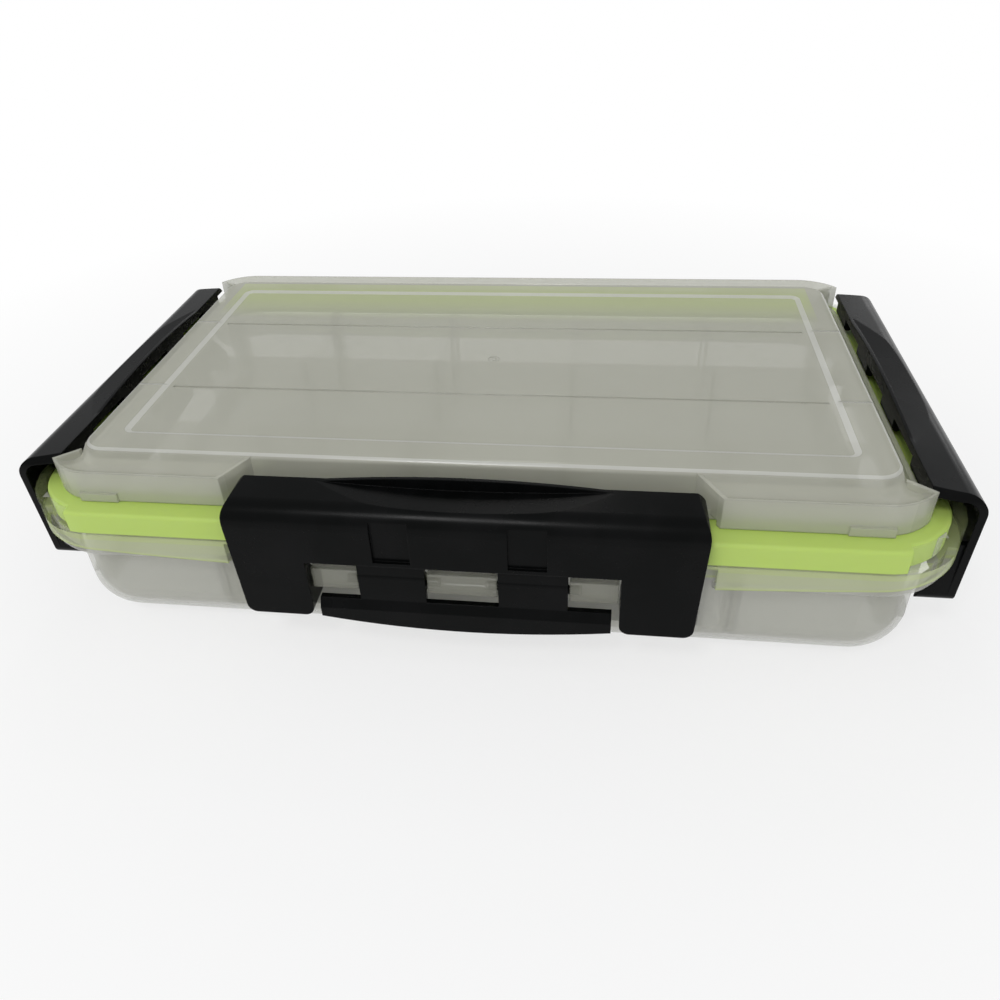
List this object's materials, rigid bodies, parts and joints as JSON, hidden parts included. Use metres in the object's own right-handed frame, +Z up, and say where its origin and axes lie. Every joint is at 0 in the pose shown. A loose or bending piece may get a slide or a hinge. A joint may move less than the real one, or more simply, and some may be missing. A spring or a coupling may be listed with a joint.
{
  "type": "tackle box",
  "caption": "Clear waterproof tackle box: a hinged lid over a compartment tray with removable dividers, a rim seal and snap latches on the front and both ends.",
  "frame": {"origin": "middle of the tray's underside, on the surface that the box stands on", "axes": "+X along the length of the box to the right, +Y from the front latch to the hinges, +Z up"},
  "size_m": [0.379, 0.2356, 0.082],
  "materials": {
    "clear_plastic": "clear, slightly milky moulded polypropylene",
    "black_plastic": "satin black moulded plastic",
    "lime_rubber": "soft lime green seal",
    "steel": "plain steel pin"
  },
  "bodies": {
    "base": {"tray": "clear_plastic", "seal": "lime_rubber", "hinge_pin_left": "steel", "hinge_pin_right": "steel", "divider_front_1": "clear_plastic", "divider_front_2": "clear_plastic", "divider_front_3": "clear_plastic", "divider_front_4": "clear_plastic", "divider_middle_1": "clear_plastic", "divider_middle_2": "clear_plastic", "divider_middle_3": "clear_plastic", "divider_middle_4": "clear_plastic", "divider_rear_1": "clear_plastic", "divider_rear_2": "clear_plastic", "divider_rear_3": "clear_plastic", "divider_rear_4": "clear_plastic"},
    "lid": {"lid": "clear_plastic"},
    "front_latch": {"latch_front": "black_plastic"},
    "left_latch": {"latch_left": "black_plastic"},
    "right_latch": {"latch_right": "black_plastic"}
  },
  "joints": [
    {"name": "lid_hinge", "type": "hinge", "parent": "base", "child": "lid", "pos_m": [0, 0.115, 0.0665], "axis": [-1, 0, 0], "range_deg": [0, 110]},
    {"name": "front_latch_pivot", "type": "hinge", "parent": "base", "child": "front_latch", "pos_m": [0, -0.111, 0.0405], "axis": [1, 0, 0], "range_deg": [0, 70]},
    {"name": "left_latch_pivot", "type": "hinge", "parent": "base", "child": "left_latch", "pos_m": [-0.1835, 0, 0.0405], "axis": [0, -1, 0], "range_deg": [0, 70]},
    {"name": "right_latch_pivot", "type": "hinge", "parent": "base", "child": "right_latch", "pos_m": [0.1835, 0, 0.0405], "axis": [0, 1, 0], "range_deg": [0, 70]}
  ]
}
